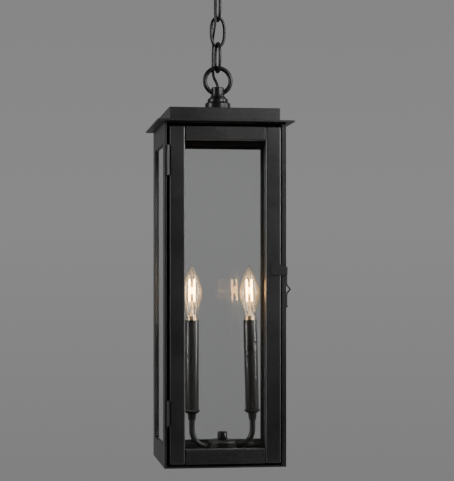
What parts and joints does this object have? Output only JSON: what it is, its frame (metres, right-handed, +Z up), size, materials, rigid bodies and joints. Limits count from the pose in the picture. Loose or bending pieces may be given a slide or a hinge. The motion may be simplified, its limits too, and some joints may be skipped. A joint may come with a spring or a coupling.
{
  "type": "hanging lantern",
  "caption": "Tall square metal lantern on a chain, with clear panes, a hinged front door with a sprung latch, and candle lamps on a bottom cluster.",
  "frame": {"origin": "centre of the canopy's ceiling face", "axes": "+Z up towards the ceiling, -Y towards the person facing the door, +X to that person's right"},
  "size_m": [0.2136, 0.2136, 0.8623],
  "materials": {
    "black_paint": "satin black powder coat with a fine texture",
    "clear_pane": "clear flat glass",
    "bulb_glass": "clear blown glass",
    "filament": "lit warm white filament sticks",
    "lamp_base_brass": "bright plated screw cap",
    "lampholder_plastic": "matte black moulded",
    "cord_pvc": "black flexible cord",
    "zinc_steel": "zinc plated",
    "pin_steel": "satin black"
  },
  "bodies": {
    "canopy": {"ceiling_canopy": "black_paint", "crossbar": "zinc_steel", "canopy_nipple": "zinc_steel", "canopy_nut": "zinc_steel", "canopy_loop": "black_paint", "supply_cord": "cord_pvc"},
    "canopy_collar": {"canopy_collar": "black_paint"},
    "link_1": {"chain_link_1": "black_paint"},
    "link_2": {"chain_link_2": "black_paint"},
    "link_3": {"chain_link_3": "black_paint"},
    "link_4": {"chain_link_4": "black_paint"},
    "door": {"door_stile_left": "black_paint", "door_stile_right": "black_paint", "door_rail_top": "black_paint", "door_rail_bottom": "black_paint", "door_glass": "clear_pane", "door_glass_stop": "black_paint", "hinge_top_door_leaf": "black_paint", "hinge_bottom_door_leaf": "black_paint", "latch_bracket": "black_paint"},
    "latch_spring": {"latch_spring": "black_paint"},
    "hub_knob": {"hub_knob": "black_paint"},
    "bulb_left": {"lamp_base_left": "lamp_base_brass", "lamp_glass_left": "bulb_glass", "filament_left": "filament"},
    "bulb_right": {"lamp_base_right": "lamp_base_brass", "lamp_glass_right": "bulb_glass", "filament_right": "filament"},
    "lantern": {"arm_left": "black_paint", "arm_right": "black_paint", "back_frame": "black_paint", "back_glass": "clear_pane", "back_glass_stop": "black_paint", "base_pan": "black_paint", "cluster_hub": "black_paint", "cup_left": "black_paint", "cup_right": "black_paint", "drip_plate": "black_paint", "front_frame": "black_paint", "hanging_loop": "black_paint", "hinge_bottom_frame_leaf": "black_paint", "hinge_pin_bottom": "pin_steel", "hinge_pin_top": "pin_steel", "hinge_top_frame_leaf": "black_paint", "lampholder_left": "lampholder_plastic", "lampholder_right": "lampholder_plastic", "left_glass": "clear_pane", "left_glass_stop": "black_paint", "left_side_frame": "black_paint", "loop_collar": "black_paint", "right_glass": "clear_pane", "right_glass_stop": "black_paint", "right_side_frame": "black_paint", "roof_cap": "black_paint", "sleeve_left": "black_paint", "sleeve_right": "black_paint", "strike_bar": "black_paint", "top_nipple": "zinc_steel", "top_nut": "zinc_steel", "top_washer": "zinc_steel"}
  },
  "joints": [
    {"name": "chain_joint_1", "type": "hinge", "parent": "canopy", "child": "link_1", "pos_m": [0, 0, -0.0747], "axis": [-0.1908, 0.9816, 0], "range_deg": [-30, 30], "deforming": ["supply_cord"]},
    {"name": "chain_joint_2", "type": "hinge", "parent": "link_1", "child": "link_2", "pos_m": [0, 0, -0.1145], "axis": [0.9816, 0.1908, 0], "range_deg": [-30, 30], "deforming": ["supply_cord"]},
    {"name": "chain_joint_3", "type": "hinge", "parent": "link_2", "child": "link_3", "pos_m": [0, 0, -0.1555], "axis": [-0.1908, 0.9816, 0], "range_deg": [-30, 30], "deforming": ["supply_cord"]},
    {"name": "chain_joint_4", "type": "hinge", "parent": "link_3", "child": "link_4", "pos_m": [0, 0, -0.1965], "axis": [0.9816, 0.1908, 0], "range_deg": [-30, 30], "deforming": ["supply_cord"]},
    {"name": "lantern_swing", "type": "hinge", "parent": "link_4", "child": "lantern", "pos_m": [0, 0, -0.2375], "axis": [-0.1908, 0.9816, 0], "range_deg": [-30, 30], "deforming": ["supply_cord"]},
    {"name": "door_hinge", "type": "hinge", "parent": "lantern", "child": "door", "pos_m": [-0.0896, -0.0956, -0.5953], "axis": [0, 0, -1], "range_deg": [0, 110]},
    {"name": "latch_flex", "type": "hinge", "parent": "door", "child": "latch_spring", "pos_m": [0.0961, -0.089, -0.5644], "axis": [0, -1, 0], "range_deg": [0, 20], "stiffness_Nm_per_rad": 0.05},
    {"name": "knob_thread", "type": "hinge", "parent": "lantern", "child": "hub_knob", "pos_m": [0.008, 0.005, -0.8223], "axis": [0, 0, 1], "continuous": true},
    {"name": "collar_thread", "type": "hinge", "parent": "canopy", "child": "canopy_collar", "pos_m": [0, 0, -0.0273], "axis": [0, 0, 1], "continuous": true},
    {"name": "bulb_left_thread", "type": "hinge", "parent": "lantern", "child": "bulb_left", "pos_m": [-0.0412, 0.005, -0.7969], "axis": [0, 0, 1], "continuous": true},
    {"name": "bulb_right_thread", "type": "hinge", "parent": "lantern", "child": "bulb_right", "pos_m": [0.0572, 0.005, -0.7969], "axis": [-0.0253, 0, 0.9997], "continuous": true}
  ]
}
